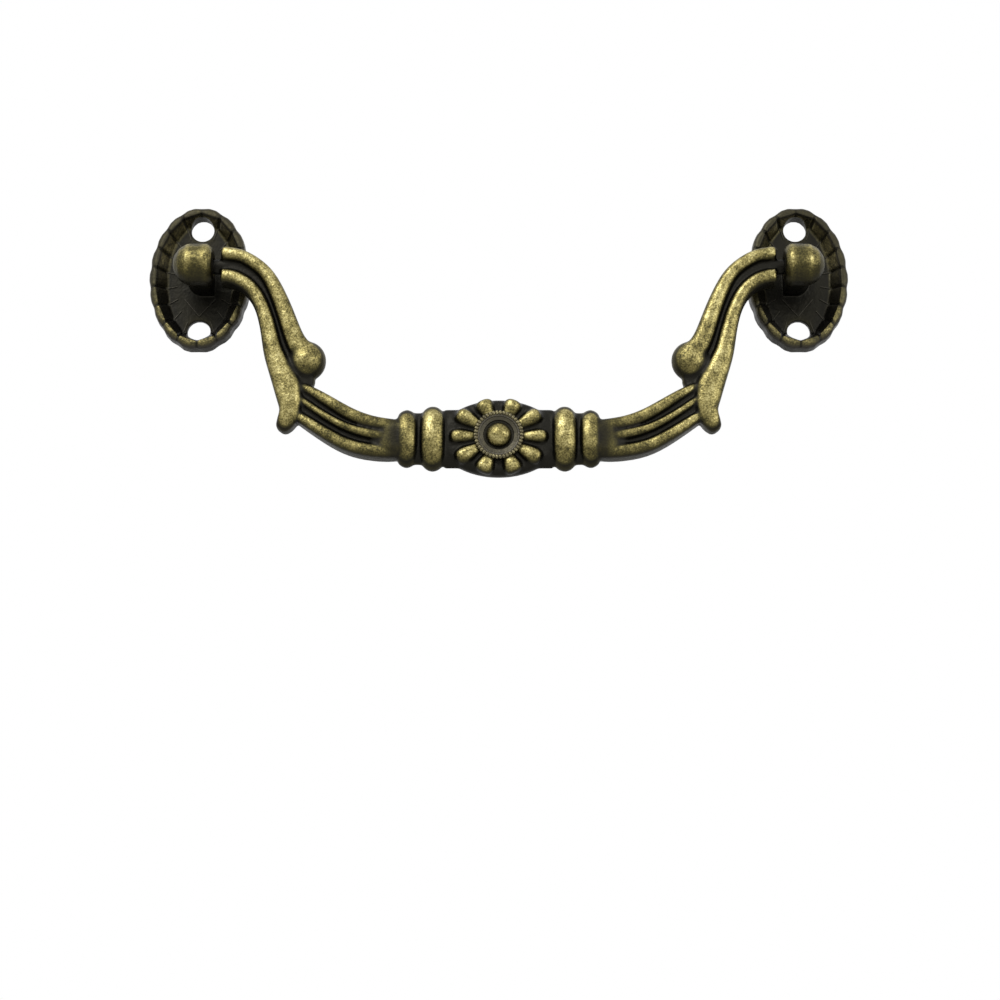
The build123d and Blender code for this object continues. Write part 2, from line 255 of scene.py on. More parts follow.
# Zones of the bail's wear, by depth, place or facing: (start, full) or (start, full, least, most)
FRONT_HALF = (-0.6, 0.0)
FRONT_FACING = (0.3, 0.7)
GROOVE_FLOOR = (1.6, 1.3)
PETAL_BED = (2.2, 1.5)
PETAL_BED_END = (8.6, 8.2)
COLLAR_INNER_END = (15.2, 15.9)
COLLAR_OUTER_END = (17.6, 16.5)
COLLAR_DULLING = 0.75
BAR_INNER_END = (12.2, 16.0)
BAR_OUTER_END = (32.0, 18.0)
BAR_DULLING = 0.38
PIN_ZONE = (PIN_START - 0.3, PIN_START)
FAR_BACK = (-5.0, -2.0, 0.2, 1.0)
# Wear and tarnish of the rosette's disc, milled rim and button, on what faces out and lies above the moat;
# the fall to dark as faces turn away from the front is partly rubbing and partly painted shade
DISC_FINISH = (0.55, 0.85)
MILL_FINISH = (1.0, 0.68)
BUTTON_FINISH = (0.95, 0.0)
OUTWARD_FACING = (-0.1, 0.9)
ABOVE_MOAT = (DISC_HEIGHT - 0.4, DISC_HEIGHT)

# Zones of a plate's wear and tarnish, by depth, place or facing, written the same way
NOTCH_EDGE = (0.1, 0.3)
NOTCH_TARNISH = 0.15
WALL_FOOT = (0.95, 1.05)
WALL_FACING = (0.0, 0.5)
WALL_HEAD = (2.95, 2.6, 0.3, 1.0)
WALL_TARNISH = 0.4
WALL_OPEN_TARNISH = 0.2
# Painted light on the upper facet panels of the wall, where the top of the dish would catch the light: (head
# start, full), (height start, full) and the share of brass laid on
LIT_FACET_HEAD = (2.85, 2.5)
LIT_FACET_HEIGHT = (-7, 5)
FACET_PAINTED_LIGHT = 0.8
CREST = (2.5, 2.85)
CREST_LOWER = (0, 8, 0.14, 0.7)
POST_FACE = (3.4, 5.5, 0.06, 1.0)
BACK_FACE = (0.5, 0.9)
BACK_TARNISH = 0.4
LINE_FINISH = (0.08, 0.5)

# Antique finish: how the specks and clouds make up the wear and painted shading that shows, and where its
# tones lie
SPECK_CONTRAST = 1.7
SPECK_LEVEL = -0.69
CLOUD_CONTRAST = 1.1
BRONZE_AT = 0.35
BRASS_AT = 0.7
DENT_STRENGTH = 0.8

# Studio, in metres, but the camera's sensor in millimetres: (lamp, place, size, share of the lamp power)
LAMPS = (
    ("key_lamp", (-0.30, -0.55, 0.50), 0.45, 1.0),
    ("fill_lamp", (0.50, -0.55, 0.10), 0.50, 0.45),
)
LAMP_TARGET = Vector((0, 0, -0.012))
FLOOR_SIZE = 6.0
SENSOR_WIDTH = 36.0
CLIP_START = 0.01


def linear(hex_colour):
    """A colour written as sRGB hex, as linear red, green and blue."""
    channels = [int(hex_colour[i:i + 2], 16) / 255 for i in (1, 3, 5)]
    return [c / 12.92 if c <= 0.04045 else ((c + 0.055) / 1.055) ** 2.4 for c in channels]


class BailSettings(bpy.types.PropertyGroup):
    """Sizes of the bail's carving."""

    strand_depth: FloatProperty(
        name="Strand depth", description="Front to back through an arm's strand",
        default=4.4 * MM, unit="LENGTH")
    reed_width: FloatProperty(
        name="Reed width", description="Width of each reed of the bar", default=2.15 * MM, unit="LENGTH")
    reed_depth: FloatProperty(
        name="Reed depth", description="Front to back through a reed", default=4.0 * MM, unit="LENGTH")
    knob_diameter: FloatProperty(
        name="Knob diameter", description="Ball at the end of the scroll", default=5.95 * MM, unit="LENGTH")
    large_bead_diameter: FloatProperty(
        name="Large bead", description="Height of the bead by the rosette", default=10.1 * MM, unit="LENGTH")
    small_bead_diameter: FloatProperty(
        name="Small bead", description="Height of the bead by the bar", default=9.0 * MM, unit="LENGTH")
    disc_diameter: FloatProperty(
        name="Disc diameter", description="Disc in the rosette's middle", default=7.5 * MM, unit="LENGTH")
    button_diameter: FloatProperty(
        name="Button diameter", description="Button on the disc", default=3.9 * MM, unit="LENGTH")
    grain: FloatProperty(
        name="Mesh grain", description="Width of one face of the fused casting",
        default=0.215 * MM, unit="LENGTH")
    softness: IntProperty(
        name="Casting softness", description="Smoothing passes that round the edges", default=6, min=0)


class BackplateSettings(bpy.types.PropertyGroup):
    """Sizes of the backplates' fine detail."""

    line_width: FloatProperty(
        name="Line width", description="Raised lines on the floor", default=0.22 * MM, unit="LENGTH")
    grain: FloatProperty(
        name="Mesh grain", description="Width of one face of the casting", default=0.13 * MM, unit="LENGTH")
    softness: IntProperty(
        name="Casting softness", description="Smoothing passes that round the edges", default=3, min=0)


class FinishSettings(bpy.types.PropertyGroup):
    """Colours and grain of the antique finish."""

    brass: FloatVectorProperty(
        name="Rubbed brass", description="High spots rubbed bright",
        default=linear("#928755"), subtype="COLOR")
    bright: FloatVectorProperty(
        name="Bright specks", description="Grains rubbed bare", default=linear("#c4b981"), subtype="COLOR")
    bronze: FloatVectorProperty(
        name="Half-rubbed brass", description="Between bright and dark",
        default=linear("#4f4a2e"), subtype="COLOR")
    oxide: FloatVectorProperty(
        name="Dark oxide", description="Left in the hollows", default=linear("#272622"), subtype="COLOR")
    pewter: FloatVectorProperty(
        name="Tarnished grey", description="Grey of the rosette's disc and the dish's wall",
        default=linear("#524f49"), subtype="COLOR")
    speckle: FloatProperty(
        name="Speckle", description="Size of the sandy specks", default=0.26 * MM, unit="LENGTH")
    cloud: FloatProperty(
        name="Cloud", description="Size of the uneven patches", default=1.6 * MM, unit="LENGTH")
    dent: FloatProperty(
        name="Dent", description="Size of the shallow dents of the cast skin",
        default=0.7 * MM, unit="LENGTH")
    dent_depth: FloatProperty(
        name="Dent depth", description="Depth of the dents", default=0.1 * MM, unit="LENGTH")
    oxide_roughness: FloatProperty(
        name="Oxide roughness", description="Roughness of the dark oxide",
        default=0.42, min=0, max=1, subtype="FACTOR")
    brass_roughness: FloatProperty(
        name="Brass roughness", description="Roughness where rubbed bare",
        default=0.3, min=0, max=1, subtype="FACTOR")


class StageSettings(bpy.types.PropertyGroup):
    """Camera, lamps and floor."""

    camera_place: FloatVectorProperty(
        name="Camera", description="Place of the camera",
        default=(0.0002, -0.3096, -0.11924), subtype="TRANSLATION")
    camera_tilt: FloatProperty(
        name="Camera tilt", description="Upward tilt", default=math.radians(15), subtype="ANGLE")
    lens: FloatProperty(
        name="Lens", description="Focal length in millimetres", default=73.51, unit="CAMERA")
    floor_drop: FloatProperty(
        name="Floor", description="Depth of the floor below the pivot", default=0.26, unit="LENGTH")
    card: FloatVectorProperty(
        name="Card", description="Colour of the floor", default=linear("#f6f5f2"), subtype="COLOR")
    card_shade: FloatVectorProperty(
        name="Card fibre", description="Colour between its fibres",
        default=linear("#efeeea"), subtype="COLOR")
    card_fibre: FloatProperty(
        name="Fibre size", description="Size of the card's fibres", default=4 * MM, unit="LENGTH")
    lamp_power: FloatProperty(
        name="Lamp power", description="Power of the main lamp", default=2.2, unit="POWER")
    room_light: FloatProperty(
        name="Room light", description="Strength of the white surroundings as a lamp",
        default=0.5, min=0, max=1, subtype="FACTOR")


def deselect():
    """Leaves every object unselected, in object mode."""
    if bpy.context.mode != "OBJECT":
        bpy.ops.object.mode_set(mode="OBJECT")
    bpy.ops.object.select_all(action="DESELECT")


def activate(piece):
    """Makes one piece the only selected and active one."""
    deselect()
    piece.select_set(True)
    bpy.context.view_layer.objects.active = piece


def use_modifier(piece, kind, **settings):
    """Adds a modifier to a piece, sets it and applies it."""
    activate(piece)
    bpy.ops.object.modifier_add(type=kind)
    modifier = piece.modifiers[-1]
    for key, value in settings.items():
        setattr(modifier, key, value)
    bpy.ops.object.modifier_apply(modifier=modifier.name)


def new_piece(add, **settings):
    """Adds a primitive at its size and place and returns it with that place in its mesh."""
    deselect()
    add(**settings)
    bpy.ops.object.transform_apply(location=True, rotation=True, scale=True)
    return bpy.context.object


def copied(piece):
    """A copy of a piece with its own mesh."""
    activate(piece)
    bpy.ops.object.duplicate(linked=False)
    return bpy.context.object


def edit(piece, action="SELECT"):
    """Opens a piece in edit mode with all of it, or none of it, selected."""
    activate(piece)
    bpy.ops.object.mode_set(mode="EDIT")
    bpy.ops.mesh.select_all(action=action)


def done():
    """Leaves edit mode with the faces turned outwards."""
    bpy.ops.mesh.select_all(action="SELECT")
    bpy.ops.mesh.normals_make_consistent(inside=False)
    bpy.ops.object.mode_set(mode="OBJECT")


def select_faces(piece, test):
    """Selects, in edit mode, the faces whose centre and normal pass a test."""
    bpy.ops.object.mode_set(mode="OBJECT")
    for face in piece.data.polygons:
        face.select = test(face.center, face.normal)
    bpy.ops.object.mode_set(mode="EDIT")


def joined(pieces):
    """Joins pieces into the first of them."""
    deselect()
    for piece in pieces:
        piece.select_set(True)
    bpy.context.view_layer.objects.active = pieces[0]
    bpy.ops.object.join()
    return pieces[0]


def moved(piece, offset):
    """Moves a form's mesh and leaves its object at the origin."""
    edit(piece)
    bpy.ops.transform.translate(value=offset)
    bpy.ops.object.mode_set(mode="OBJECT")


def side_point(along, down):
    """A point of the bail's side curves on its middle plane."""
    return Vector((BAR_START + along * ARM_REACH, 0, -down * BAIL_DROP))


def swept(stations):
    """A rod: a rounded section extruded through (point, half width, half depth) stations, then smoothed."""
    points = [station[0] for station in stations]
    ahead = points[1:] + [points[-1] * 2 - points[-2]]
    behind = [points[0] * 2 - points[1]] + points[:-1]
    turns = [math.atan2(a.z - b.z, a.x - b.x) for a, b in zip(ahead, behind)]
    rod = new_piece(
        bpy.ops.mesh.primitive_plane_add, size=2, location=points[0], rotation=(0, math.pi / 2, 0))
    _, width, depth = stations[0]
    edit(rod)
    bpy.ops.transform.resize(value=(1, depth, width), center_override=points[0])
    bpy.ops.mesh.bevel(
        offset=SECTION_ROUNDNESS * min(width, depth), segments=SECTION_STEPS, affect="VERTICES")
    bpy.ops.transform.rotate(value=turns[0], orient_axis="Y", center_override=points[0])
    for i in range(1, len(stations)):
        point, wider, deeper = stations[i]
        bpy.ops.mesh.extrude_region_move(TRANSFORM_OT_translate={"value": point - points[i - 1]})
        bpy.ops.transform.rotate(value=-turns[i - 1], orient_axis="Y", center_override=point)
        bpy.ops.transform.resize(value=(1, deeper / depth, wider / width), center_override=point)
        bpy.ops.transform.rotate(value=turns[i], orient_axis="Y", center_override=point)
        width, depth = wider, deeper
    done()
    use_modifier(rod, "SUBSURF", levels=ROD_LEVELS, render_levels=ROD_LEVELS)
    return rod


def even_rod(table, half_depth):
    """A rod of the bail's side with one depth all along, from a table of places and half widths."""
    return swept([(side_point(along, down), wide, half_depth) for along, down, wide in table])


def shaped_rod(table, half_width=1.0, half_depth=1.0):
    """A rod of the bail's side whose width and depth both change, each as a share of the half given."""
    return swept([
        (side_point(along, down), wide * half_width, deep * half_depth)
        for along, down, wide, deep in table
    ])


def scroll_knob(diameter):
    """The ball of the scroll, flattened to the strand that it ends and drawn out towards it."""
    centre = side_point(*KNOB_CENTRE)
    neck = Vector(KNOB_NECK)
    knob = new_piece(
        bpy.ops.mesh.primitive_uv_sphere_add, segments=40, ring_count=20, radius=diameter / 2,
        location=centre)
    edit(knob)
    bpy.ops.transform.resize(value=KNOB_STRETCH, center_override=centre)
    select_faces(knob, lambda place, _: (place - centre).dot(neck) > diameter * KNOB_NECK_START)
    bpy.ops.transform.translate(value=neck * diameter * KNOB_NECK_PULL)
    done()
    return knob


def bead(diameter, middle, width, flatness, rounding):
    """A bead on the grip: a turned disc with a rounded edge, flattened front to back."""
    centre = Vector((middle, 0, -BAIL_DROP))
    disc = new_piece(
        bpy.ops.mesh.primitive_cylinder_add, vertices=72, radius=diameter / 2, depth=width,
        location=centre, rotation=(0, math.pi / 2, 0))
    edit(disc, "DESELECT")
    select_faces(disc, lambda _, normal: abs(normal.x) > SQUARE_ON)
    bpy.ops.mesh.bevel(offset=rounding, segments=6, affect="EDGES")
    bpy.ops.mesh.select_all(action="SELECT")
    bpy.ops.transform.resize(value=(1, flatness, 1), center_override=centre)
    done()
    return disc


def pin(end):
    """The pivot pin at an arm's end: a rod with its free edge broken."""
    start = PIN_START - PIN_ROOT
    rod = new_piece(
        bpy.ops.mesh.primitive_cylinder_add, vertices=48, radius=PIN_RADIUS, depth=end - start,
        location=((start + end) / 2, 0, 0), rotation=(0, math.pi / 2, 0))
    edit(rod, "DESELECT")
    select_faces(rod, lambda _, normal: normal.x > SQUARE_ON)
    bpy.ops.mesh.bevel(offset=PIN_EDGE, segments=3, affect="EDGES")
    done()
    return rod


def bail_side(sizes):
    """The forms of the bail's right side: strands, webs, knob, beads, neck, pin and reeds."""
    strand_half = sizes.strand_depth / MM / 2
    reed_half_width = sizes.reed_width / MM / 2
    reed_half_depth = sizes.reed_depth / MM / 2
    forms = [
        even_rod(SCROLL_STRAND, strand_half),
        shaped_rod(TAIL_STRAND, half_depth=strand_half),
        even_rod(ARM_WEB, WEB_HALF_DEPTH),
        even_rod(BAR_WEB, WEB_HALF_DEPTH),
        scroll_knob(sizes.knob_diameter / MM),
        bead(sizes.large_bead_diameter / MM, *LARGE_BEAD),
        bead(sizes.small_bead_diameter / MM, *SMALL_BEAD),
        bead(BEAD_CORE_DIAMETER, *BEAD_CORE),
        shaped_rod(NECK),
        pin(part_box("bail")[1][0] / MM),
    ]
    for reed in (UPPER_REED, MIDDLE_REED, LOWER_REED):
        forms.append(shaped_rod(reed, reed_half_width, reed_half_depth))
    return joined(forms)


def petal(angle, reach, end, rise, root):
    """A spoon-shaped petal round the grip's middle: narrow under the disc, full and round at its end."""
    length = reach - root
    leaf = swept([
        (Vector((root + part * length, 0, 0)), wide * end, wide * end) for part, wide in PETAL_SPOON])
    turn = math.radians(angle)
    drop = TOP_PETAL_DROP - (TOP_PETAL_DROP - SIDE_PETAL_DROP) * math.cos(turn) ** 2
    edit(leaf)
    bpy.ops.transform.rotate(value=-math.atan2(drop, length), orient_axis="Z", center_override=(root, 0, 0))
    bpy.ops.transform.translate(value=(0, -rise, 0))
    bpy.ops.transform.rotate(value=turn, orient_axis="Y", center_override=(0, 0, 0))
    done()
    return leaf


def petal_ring(disc_radius):
    """The ring of petals and sepals: those of one quarter, mirrored sideways and upwards."""
    root = disc_radius - PETAL_UNDER_DISC
    pair = petal(*SIDE_PETAL, root)
    use_modifier(pair, "MIRROR", use_axis=(True, False, False), use_mirror_merge=False)
    quarter = joined([petal(*leaf, root) for leaf in PETALS + SEPALS])
    use_modifier(quarter, "MIRROR", use_axis=(True, False, True), use_mirror_merge=False)
    ring = joined([pair, quarter])
    edit(ring)
    bpy.ops.transform.translate(value=(0, 0, -BAIL_DROP))
    done()
    return ring


def rosette_boss():
    """The oval lens under the petals."""
    centre = Vector((0, 0, -BAIL_DROP))
    boss = new_piece(
        bpy.ops.mesh.primitive_cylinder_add, vertices=96, radius=BOSS_HEIGHT / 2, depth=BOSS_DEPTH,
        location=centre, rotation=(math.pi / 2, 0, 0))
    edit(boss, "DESELECT")
    select_faces(boss, lambda _, normal: abs(normal.y) > SQUARE_ON)
    bpy.ops.mesh.bevel(offset=BOSS_ROUNDING, segments=5, affect="EDGES")
    bpy.ops.mesh.select_all(action="SELECT")
    bpy.ops.transform.resize(value=(BOSS_WIDTH / BOSS_HEIGHT, 1, 1), center_override=centre)
    done()
    return boss


def rosette_disc(diameter):
    """The rosette's disc: a flat collar inside a raised rim, with a moat for the button."""
    centre = Vector((0, -DISC_HEIGHT / 2, -BAIL_DROP))
    disc = new_piece(
        bpy.ops.mesh.primitive_cylinder_add, vertices=80, radius=diameter / 2, depth=DISC_HEIGHT,
        location=centre, rotation=(math.pi / 2, 0, 0))
    edit(disc, "DESELECT")
    select_faces(disc, lambda _, normal: normal.y < -SQUARE_ON)
    for width, depth in ((DISC_RIM_WIDTH, DISC_RIM_RISE), (DISC_COLLAR_WIDTH, DISC_MOAT_DEPTH)):
        bpy.ops.mesh.inset(thickness=width)
        bpy.ops.mesh.extrude_region_move(TRANSFORM_OT_translate={"value": (0, depth, 0)})
    done()
    use_modifier(
        disc, "BEVEL", width=DISC_EDGE, segments=2, limit_method="ANGLE", angle_limit=math.radians(40))
    return disc


def rosette_mills(diameter):
    """The tiny beads milled on the disc's rim: one pressed flat, then copied round."""
    first = Vector((diameter / 2 - MILL_INSET, -DISC_HEIGHT, -BAIL_DROP))
    mill = new_piece(
        bpy.ops.mesh.primitive_uv_sphere_add, segments=10, ring_count=6, radius=MILL_RADIUS, location=first)
    edit(mill)
    bpy.ops.transform.resize(value=MILL_STRETCH, center_override=first)
    done()
    mills = [mill]
    for i in range(1, MILLS):
        copy = copied(mill)
        edit(copy)
        bpy.ops.transform.rotate(
            value=2 * math.pi * i / MILLS, orient_axis="Y", center_override=(0, 0, -BAIL_DROP))
        bpy.ops.object.mode_set(mode="OBJECT")
        mills.append(copy)
    return joined(mills)


def rosette_button(diameter):
    """The domed button in the disc's moat."""
    seat = Vector((0, -BUTTON_SEAT, -BAIL_DROP))
    button = new_piece(
        bpy.ops.mesh.primitive_uv_sphere_add, segments=40, ring_count=20, radius=diameter / 2,
        location=seat, rotation=(math.pi / 2, 0, 0))
    edit(button)
    bpy.ops.transform.resize(value=(1, BUTTON_RISE / (diameter / 2), 1), center_override=seat)
    done()
    return button


def rosette_middle(disc_diameter, button_diameter):
    """The disc, its milled rim and the button, kept crisp outside the fused skin, each with its finish and
    with painted shade on faces turned away from the front.
    """
    pieces = (
        (rosette_disc(disc_diameter), DISC_FINISH),
        (rosette_mills(disc_diameter), MILL_FINISH),
        (rosette_button(button_diameter), BUTTON_FINISH),
    )
    for piece, (wear_and_shade, tarnish) in pieces:
        points = piece.data.vertices
        # Painted shade, partly real rubbing: wear and tarnish fall to dark oxide as faces turn away from the
        # front
        outwards = between(-vectors(points, "normal")[:, 1], *OUTWARD_FACING)
        outwards *= between(-vectors(points, "co")[:, 1], *ABOVE_MOAT)
        stored(piece, "wear_and_shade", wear_and_shade * outwards)
        stored(piece, "tarnish", tarnish * outwards)
        moved(piece, (0, -PIVOT_STANDOFF, 0))
        bpy.ops.object.shade_smooth()
    return [piece for piece, _ in pieces]


def even_places(width, height, count):
    """Places evenly spaced round an oval from its top, as (x, z)."""
    turns = np.linspace(0, 2 * math.pi, OVAL_POINTS)
    xs, zs = width / 2 * np.sin(turns), height / 2 * np.cos(turns)
    run = np.concatenate([[0], np.cumsum(np.hypot(np.diff(xs), np.diff(zs)))])
    wanted = np.arange(count) * run[-1] / count
    return list(zip(np.interp(wanted, run, xs), np.interp(wanted, run, zs)))


def ridge(start, end, width):
    """A fine raised line on a dish's floor between two (x, z) places: a bar drawn in towards its crest."""
    along = Vector((end[0] - start[0], 0, end[1] - start[1]))
    bar = new_piece(bpy.ops.mesh.primitive_cube_add, size=1, location=(0, 0, 0))
    edit(bar)
    bpy.ops.transform.resize(value=(along.length, 2 * LINE_RISE, width), center_override=(0, 0, 0))
    select_faces(bar, lambda _, normal: normal.y < -SQUARE_ON)
    bpy.ops.transform.resize(value=(1, 1, LINE_CREST))
    bpy.ops.mesh.select_all(action="SELECT")
    bpy.ops.transform.rotate(
        value=math.atan2(along.z, along.x), orient_axis="Y", center_override=(0, 0, 0))
    middle = ((start[0] + end[0]) / 2, -FLOOR_THICKNESS, (start[1] + end[1]) / 2)
    bpy.ops.transform.translate(value=middle)
    done()
    return bar


def floor_lines(width):
    """The raised lines of a dish's floor: spokes out to the wall and a pointed leaf under the post."""
    inner = even_places(*SPOKE_START_OVAL, SCALLOPS)
    outer = even_places(*FLOOR_OVAL, SCALLOPS)
    lines = [ridge(inner[i], outer[i], width) for i in range(SCALLOPS) if i % (SCALLOPS // 2)]
    for side in (-1, 1):
        lines.append(ridge((side * LEAF_HALF_WIDTH, LEAF_TOP), (0, LEAF_TIP), width))
    raised = joined(lines)
    wear_and_shade, tarnish = LINE_FINISH
    stored(raised, "wear_and_shade", np.full(len(raised.data.vertices), wear_and_shade))
    stored(raised, "tarnish", np.full(len(raised.data.vertices), tarnish))
    return raised


def cad_copy(node, name):
    """A merged copy of a CAD node, in millimetres."""
    copy = bpy.data.objects.new(name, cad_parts[node].data.copy())
    bpy.context.scene.collection.objects.link(copy)
    copy.data.materials.clear()
    activate(copy)
    copy.scale = (1 / MM, 1 / MM, 1 / MM)
    bpy.ops.object.transform_apply(location=True, rotation=True, scale=True)
    edit(copy)
    bpy.ops.mesh.remove_doubles(threshold=MERGE_DISTANCE)
    bpy.ops.object.mode_set(mode="OBJECT")
    return copy


def cast(piece, grain, softness):
    """Fuses a piece's forms into one skin with softly rounded edges."""
    use_modifier(piece, "REMESH", mode="VOXEL", voxel_size=grain, use_smooth_shade=True)
    use_modifier(piece, "SMOOTH", factor=0.5, iterations=softness)


def filed(piece, test, passes):
    """Smooths the part of a casting whose points pass a test, as a file rounds over what is left sharp."""
    edit(piece, "DESELECT")
    bpy.ops.object.mode_set(mode="OBJECT")
    for point in piece.data.vertices:
        point.select = test(point.co)
    bpy.ops.object.mode_set(mode="EDIT")
    bpy.ops.mesh.vertices_smooth(factor=0.5, repeat=passes)
    bpy.ops.object.mode_set(mode="OBJECT")


def filed_plate(plate, centre):
    """Files a plate's post above its foot, and then its rim."""
    half_width, half_height = RIM_FILED_OVAL[0] / 2, RIM_FILED_OVAL[1] / 2

    def on_post(place):
        return place.y < -POST_FOOT and math.hypot(place.x - centre.x, place.z) < POST_REACH

    def on_rim(place):
        return math.hypot((place.x - centre.x) / half_width, place.z / half_height) > 1

    filed(plate, on_post, POST_FILED_PASSES)
    filed(plate, on_rim, RIM_FILED_PASSES)


def finished(piece, body, node):
    """Brings a casting from millimetres to metres and gives it its finish and its place in the frame."""
    activate(piece)
    piece.scale = (MM, MM, MM)
    bpy.ops.object.transform_apply(location=True, rotation=True, scale=True)
    piece.data.materials.append(bpy.data.materials[FINISH_NAME])
    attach(piece, body)
    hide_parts(node)


def stored(piece, name, values):
    """Stores one number for each point of a piece, for its material to read."""
    attribute = piece.data.attributes.new(name, "FLOAT", "POINT")
    attribute.data.foreach_set("value", np.asarray(values, dtype=np.float32))


def vectors(points, key):
    """One vector of every point of a mesh, as rows."""
    rows = np.empty(len(points) * 3)
    points.foreach_get(key, rows)
    return rows.reshape(-1, 3)


def between(values, start, full, least=0.0, most=1.0):
    """Runs from least to most as the values run from start to full, and stays level outside."""
    return least + (most - least) * np.clip((values - start) / (full - start), 0, 1)


def rubbed(piece, ridge_height, passes):
    """How far polishing reaches each point, most on ridges that face out, with painted form shading that
    darkens faces turned away from the front and downwards, and how open each point lies.
    """
    mesh = piece.data
    count = len(mesh.vertices)
    places, normals = vectors(mesh.vertices, "co"), vectors(mesh.vertices, "normal")
    ends = np.empty(len(mesh.edges) * 2, dtype=np.int64)
    mesh.edges.foreach_get("vertices", ends)
    here = np.concatenate([ends[0::2], ends[1::2]])
    there = np.concatenate([ends[1::2], ends[0::2]])
    links = np.bincount(here, minlength=count)
    worn = places.copy()
    for step in range(passes):
        if step == CREASE_PASSES:
            depth = ((worn - places) * normals).sum(axis=1)
            crease = np.clip(1 - depth / CREASE_DEPTH, CREASE_LEAST, 1)
        for axis in range(3):
            mean = np.bincount(here, weights=worn[there, axis], minlength=count) / links
            worn[:, axis] = 0.5 * worn[:, axis] + 0.5 * mean
    height = ((places - worn) * normals).sum(axis=1)
    open_share = crease * between(height, -HOLLOW_SHARE * ridge_height, ridge_height)
    # Painted form shading: faces turned away from the front, and faces turned downwards, get less wear, so
    # flanks and undersides go darker and front and upper faces lighter; the rest is real rubbing of what
    # faces out
    facing = between(normals @ POLISH_AND_LIGHT_FROM, *POLISH_AND_SHADE_ROUND) ** POLISH_AND_SHADE_FALL
    facing += BACK_WEAR * between(normals[:, 1], *POLISH_BACK)
    return open_share * (POLISH_LEAST + (1 - POLISH_LEAST) * facing), open_share


def bail_wear_and_shade(bail):
    """Wear of the bail with its painted form shading: none on groove floors, the petals' bed and the pins,
    and less on collar and bar.
    """
    wear_and_shade, _ = rubbed(bail, BAIL_RIDGE_HEIGHT, BAIL_RIDGE_PASSES)
    places, normals = vectors(bail.data.vertices, "co"), vectors(bail.data.vertices, "normal")
    out = -places[:, 1] - PIVOT_STANDOFF
    offset = np.abs(places[:, 0])
    front = between(out, *FRONT_HALF)
    groove_floor = front * between(-normals[:, 1], *FRONT_FACING) * between(out, *GROOVE_FLOOR)
    petal_bed = front * between(offset, *PETAL_BED_END) * between(out, *PETAL_BED)
    collar = between(offset, *COLLAR_INNER_END) * between(offset, *COLLAR_OUTER_END)
    bar = between(offset, *BAR_INNER_END) * between(offset, *BAR_OUTER_END)
    wear_and_shade *= (1 - groove_floor) * (1 - petal_bed) * (1 - between(offset, *PIN_ZONE))
    wear_and_shade *= (1 - COLLAR_DULLING * collar) * (1 - BAR_DULLING * bar)
    return wear_and_shade * between(out, *FAR_BACK)


def notch_distance(places):
    """How far each point of a plate round the origin lies, seen from the front, from the nearest notch."""
    nearest = np.full(len(places), np.inf)
    flat = places[:, [0, 2]]
    for foot, edge in zip(even_places(*FLOOR_OVAL, SCALLOPS), even_places(*RIM_OVAL, SCALLOPS)):
        along = np.subtract(edge, foot)
        part = np.clip((flat - foot) @ along / (along @ along), 0, 1)
        nearest = np.minimum(nearest, np.linalg.norm(flat - foot - part[:, None] * along, axis=1))
    return nearest


def plate_wear_light_and_shade(plate, centre):
    """Wear and tarnish of a plate: rubbed on post and crest with painted form shading, painted light on the
    upper wall facet panels, grey on the wall and the back.
    """
    wear_and_shade, open_share = rubbed(plate, PLATE_RIDGE_HEIGHT, PLATE_RIDGE_PASSES)
    places = vectors(plate.data.vertices, "co") - centre
    normals = vectors(plate.data.vertices, "normal")
    out, up = -places[:, 1], places[:, 2]
    notch = between(notch_distance(places), *NOTCH_EDGE)
    beyond = np.hypot(places[:, 0] / FLOOR_OVAL[0] * 2, up / FLOOR_OVAL[1] * 2)
    wall = between(beyond, *WALL_FOOT) * between(-normals[:, 1], *WALL_FACING) * between(out, *WALL_HEAD)
    wall *= NOTCH_TARNISH + (1 - NOTCH_TARNISH) * notch
    crest = between(out, *CREST) * between(-up, *CREST_LOWER) * notch
    wear_and_shade *= np.clip(between(out, *POST_FACE) + crest, 0, 1)
    # Painted light: brass laid on the upper facet panels as if lit
    lit_facets = FACET_PAINTED_LIGHT * wall * between(out, *LIT_FACET_HEAD) * between(up, *LIT_FACET_HEIGHT)
    back = BACK_TARNISH * between(normals[:, 1], *BACK_FACE)
    return np.maximum(wear_and_shade, lit_facets), wall * (WALL_TARNISH + WALL_OPEN_TARNISH * open_share) + back


def add_node(tree, kind, inputs=None, **settings):
    """Adds a node with its settings, and links or sets its inputs."""
    node = tree.nodes.new(kind)
    for key, value in settings.items():
        setattr(node, key, value)
    for key, value in (inputs or {}).items():
        if isinstance(value, bpy.types.NodeSocket):
            tree.links.new(value, node.inputs[key])
        else:
            node.inputs[key].default_value = value
    return node


